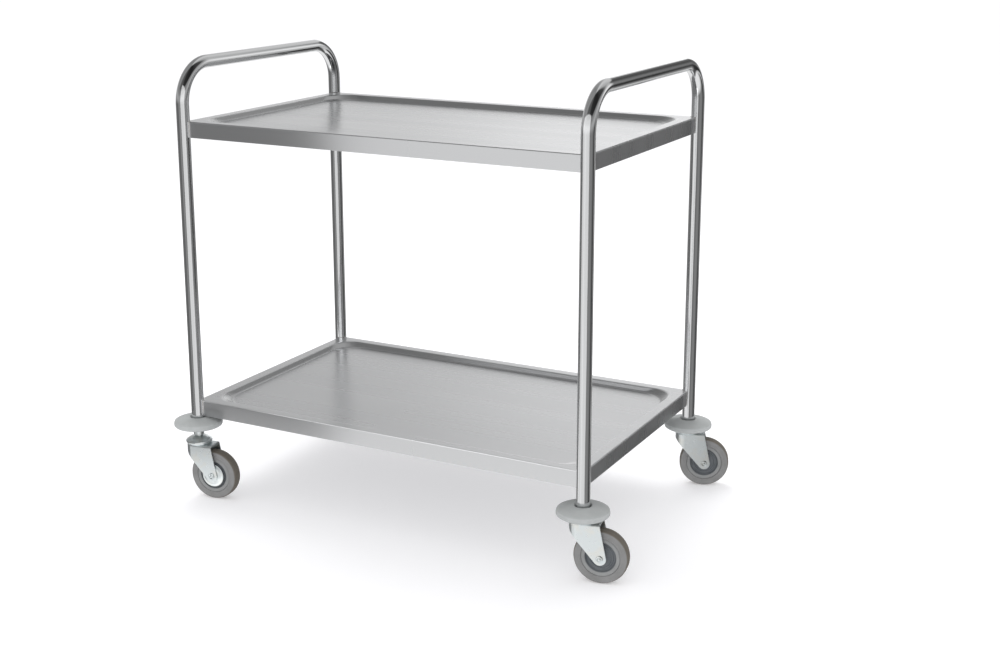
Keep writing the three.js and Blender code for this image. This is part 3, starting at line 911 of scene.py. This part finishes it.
def build_frame():
    """The two hoops, and each tray with its stiffener and its weld beads. All of them ride on the frame."""
    tube, sheet, weld = MATERIALS["tube"], MATERIALS["sheet"], MATERIALS["weld"]
    for side, x in (("left", LEFT), ("right", RIGHT)):
        node = side + "_tube_hoop"
        add_piece(side + "_handle_tube", tube_hoop(node, x), "frame", tube, [node])
    for level, z in (("upper", UPPER_TRAY_Z), ("lower", LOWER_TRAY_Z)):
        node = level + "_tray"
        add_piece(level + "_pressed_tray", tray(node, z), "frame", sheet, [node])
        node = level + "_tray_stiffener"
        add_piece(level + "_channel", stiffener(node), "frame", sheet, [node])
        for name, corner in CORNERS.items():
            bead = level + "_" + name + "_weld"
            add_piece(bead, weld_bead(bead, corner, z), "frame", weld, crease=80)


# Which CAD node each piece of a caster takes the place of, by the ends of their names.
NODE_OF = {
    "_sleeve": "_stem_sleeve", "_cup": "_swivel_cup", "_pin": "_king_pin", "_balls": "_ball_race",
    "_pressed_fork": "_fork", "_rivet": "_axle_bolt", "_nut": "_axle_nut",
    "_outer_guard": "_outer_cover", "_inner_guard": "_inner_cover",
    "_outer_washer": "_outer_spacer", "_inner_washer": "_inner_spacer",
    "_hub": "_wheel_hub", "_rubber_tyre": "_tyre", "_bumper": "_bumper_ring",
}


def build_caster(name, corner):
    """Everything below one leg: the caster's fixed pieces, its swivel, its wheel and the bumper ring."""
    swivel, wheel, ring = name + "_swivel", name + "_wheel", name + "_bumper"

    def add(part, mesh, body, material):
        add_piece(name + part, mesh, body, MATERIALS[material], [name + NODE_OF[part]])

    add("_sleeve", stem_sleeve(name, corner), "frame", "zinc")
    add("_cup", swivel_cup(name, corner), "frame", "zinc")
    add("_pin", king_pin(name, corner), "frame", "zinc")
    add("_balls", ball_race(name, corner), "frame", "zinc")
    add("_pressed_fork", fork(name, corner), swivel, "zinc")
    add("_rivet", axle_bolt(name, corner), swivel, "zinc")
    add("_nut", axle_nut(name, corner), swivel, "zinc")
    covered = name + "_outer_cover" in frame["nodes"]
    for side, label in ((1, "_outer"), (-1, "_inner")):
        if covered:
            add(label + "_guard", disc_cover(name, corner, side), swivel, "zinc")
        else:
            add(label + "_washer", spacer(name, corner, side), swivel, "zinc")
    add("_hub", wheel_hub(name, corner), wheel, "hub")
    add("_rubber_tyre", tyre(name, corner), wheel, "tyre")
    add("_bumper", bumper_ring(name, corner), ring, "bumper")


# ---------------------------------------------------------------- stage, light and camera

# The floor reaches this far, in metres. It glows a little, so that the shadow on it stays pale.
FLOOR_REACH = 40.0
FLOOR_COLOUR = (0.815, 0.815, 0.826)
FLOOR_GLOW_COLOUR = (0.985, 0.975, 1.0, 1)
FLOOR_GLOW = 0.265


def build_floor():
    """A plain pale floor, large enough to run out of every view."""
    radius, sides = FLOOR_REACH / MM, 96
    turns = [TAU * k / sides for k in range(sides)]
    points = [(radius * math.cos(turn), radius * math.sin(turn), 0) for turn in turns]
    mesh = mesh_from("floor", points, [tuple(range(sides))])
    floor = bpy.data.objects.new("floor", mesh)
    bpy.context.scene.collection.objects.link(floor)
    material, _, shader = new_material("pale_floor", FLOOR_COLOUR, 0.0, 0.9)
    shader.inputs["Specular IOR Level"].default_value = 0.0
    shader.inputs["Emission Color"].default_value = FLOOR_GLOW_COLOUR
    shader.inputs["Emission Strength"].default_value = FLOOR_GLOW
    mesh.materials.append(material)
    floor.visible_glossy = False


# What the metal mirrors of the studio, as (azimuth in degrees from +X, brightness) round four belts of the
# sky: just below the horizon, just above it, high up, and steeply down.
STUDIO_LOW = [
    (-180, 0.15), (-160, 0.18), (-145, 0.11), (-128, 0.20), (-108, 0.30), (-90, 0.20), (-50, 0.18),
    (-36, 0.24), (-8, 0.24), (12, 0.14), (28, 0.06), (46, 0.03), (50, 0.60), (55, 0.60), (60, 0.02),
    (69, 0.04), (75, 0.22), (83, 0.62), (112, 0.85), (120, 0.85), (132, 0.75), (150, 0.35), (180, 0.15),
]
STUDIO_HIGH = [
    (-180, 0.45), (-150, 0.42), (-130, 0.40), (-110, 0.38), (-60, 0.36), (-35, 0.38), (-10, 0.42),
    (20, 0.45), (40, 0.50), (54, 0.95), (59, 0.90), (67, 0.20), (80, 0.12), (95, 0.24), (103, 1.30),
    (114, 1.42), (123, 0.98), (134, 0.78), (156, 0.50), (180, 0.45),
]
STUDIO_TOP = [
    (-180, 0.30), (-168, 0.26), (-150, 0.32), (-138, 0.30), (-120, 0.12), (-90, 0.10), (-60, 0.03), (0, 0.02),
    (36, 0.06), (58, 0.50), (90, 0.66), (105, 0.66), (125, 0.34), (150, 0.26), (180, 0.30),
]
STUDIO_GROUND = [(-180, 0.95), (50, 0.95), (64, 0.10), (96, 0.10), (112, 0.95), (180, 0.95)]

# Where one belt gives way to the next, as the height of a direction: 0 is level and 1 straight up. Before the
# top belt starts, the one below it is dimmed to a share of its brightness.
LOW_TO_HIGH = (-0.08, 0.08)
HIGH_IS_DIMMED = (0.18, 0.32)
HIGH_DIMMED_TO = 0.62
HIGH_TO_TOP = (0.41, 0.50)
LOW_TO_GROUND = (-0.42, -0.70)

# The even light on dull surfaces is stronger from the sides than from above.
AMBIENT_ROUND = 1.60
AMBIENT_ABOVE = 0.90
AMBIENT_FADES = (0.1, 0.6)
BACKDROP = (1.05, 1.05, 1.05)

# Soft rectangles of light as (name, place, aim, size, watts, shows only in reflections), in metres.
SOFT_LIGHTS = [
    ("overhead", (-1.0, 1.1, 3.6), (0.0, 0.0, 0.0), (2.4, 2.1), 52, False),
    ("front_fill", (1.6, -3.4, 1.9), (0.0, 0.0, 0.3), (2.6, 2.2), 20, False),
    ("front_panel", (0.21, -0.72, 0.375), (0.21, 0.0, 0.375), (1.27, 1.65), 4.05, True),
    ("low_panel", (-0.74, -0.72, -0.27), (-0.74, 0.0, -0.27), (0.72, 0.38), 0.68, True),
    ("shelf_panel", (-0.1, -0.39, 0.55), (-0.1, -0.39, 0.0), (0.9, 0.36), 1.15, True),
]


def brightness_ramp(tree, share, stops):
    """A grey ramp through (azimuth in degrees, brightness) stops."""
    node = tree.nodes.new("ShaderNodeValToRGB")
    tree.links.new(share, node.inputs[0])
    ramp = node.color_ramp
    ramp.interpolation = "EASE"
    while len(ramp.elements) < len(stops):
        ramp.elements.new(0.5)
    for stop, (angle, light) in zip(ramp.elements, stops):
        stop.position = (angle + 180) / 360
        stop.color = (light, light, light, 1)
    return node.outputs["Color"]


def build_world():
    """White to the camera, an even light on dull surfaces, and belts of light and dark in reflections."""
    world = bpy.data.worlds.new("studio")
    bpy.context.scene.world = world
    world.use_nodes = True
    tree = world.node_tree
    tree.nodes.clear()
    direction = tree.nodes.new("ShaderNodeTexCoord").outputs["Generated"]
    parts = tree.nodes.new("ShaderNodeSeparateXYZ")
    tree.links.new(direction, parts.inputs[0])
    azimuth = add_node(tree, "ShaderNodeMath", operation="ARCTAN2")
    tree.links.new(parts.outputs["Y"], azimuth.inputs[0])
    tree.links.new(parts.outputs["X"], azimuth.inputs[1])
    share = spread(tree, azimuth.outputs[0], 0, 1, -math.pi, math.pi)
    height = parts.outputs["Z"]

    def belt(stops):
        return brightness_ramp(tree, share, stops)

    ring = blend_colours(tree, spread(tree, height, 0, 1, *LOW_TO_HIGH), belt(STUDIO_LOW), belt(STUDIO_HIGH))
    dimming = spread(tree, height, 1.0, HIGH_DIMMED_TO, *HIGH_IS_DIMMED)
    ring = blend_colours(tree, 1.0, ring, dimming, blend_type="MULTIPLY")
    ring = blend_colours(tree, spread(tree, height, 0, 1, *HIGH_TO_TOP), ring, belt(STUDIO_TOP))
    mirrored_sky = blend_colours(tree, spread(tree, height, 0, 1, *LOW_TO_GROUND), ring, belt(STUDIO_GROUND))
    ambient = spread(tree, height, AMBIENT_ROUND, AMBIENT_ABOVE, *AMBIENT_FADES)
    paths = tree.nodes.new("ShaderNodeLightPath")
    even = blend_colours(tree, paths.outputs["Is Diffuse Ray"], mirrored_sky, ambient)
    seen = blend_colours(tree, paths.outputs["Is Camera Ray"], even, BACKDROP)
    background = tree.nodes.new("ShaderNodeBackground")
    tree.links.new(seen, background.inputs["Color"])
    output = tree.nodes.new("ShaderNodeOutputWorld")
    tree.links.new(background.outputs[0], output.inputs["Surface"])


def add_soft_light(name, place, aim, size, power, mirrored_only):
    """A soft rectangle of light. It either shows only in reflections or lights without showing in them."""
    data = bpy.data.lights.new(name, "AREA")
    data.shape = "RECTANGLE"
    data.size, data.size_y = size
    data.energy = power
    light = bpy.data.objects.new(name, data)
    light.location = place
    light.rotation_euler = (Vector(aim) - Vector(place)).to_track_quat("-Z", "Y").to_euler()
    light.visible_glossy = mirrored_only
    light.visible_diffuse = not mirrored_only
    light.visible_camera = False
    bpy.context.scene.collection.objects.link(light)


def build_camera():
    """The view that the photo was taken from, with a part of its vertical shift."""
    data = bpy.data.cameras.new("camera")
    data.lens = CAMERA_LENS
    data.sensor_width = CAMERA_SENSOR
    data.shift_y = CAMERA_SHIFT_UP
    data.clip_end = CAMERA_REACH
    camera = bpy.data.objects.new("camera", data)
    camera.location = CAMERA_PLACE
    camera.rotation_euler = (math.pi / 2 - CAMERA_DIP, 0.0, CAMERA_TURN)
    bpy.context.scene.collection.objects.link(camera)
    bpy.context.scene.camera = camera


build_camera()
build_frame()
for corner_name, corner_fact in CORNERS.items():
    build_caster(corner_name, corner_fact)
build_floor()
build_world()
for soft_light in SOFT_LIGHTS:
    add_soft_light(*soft_light)
bpy.context.scene.view_settings.view_transform = "Standard"
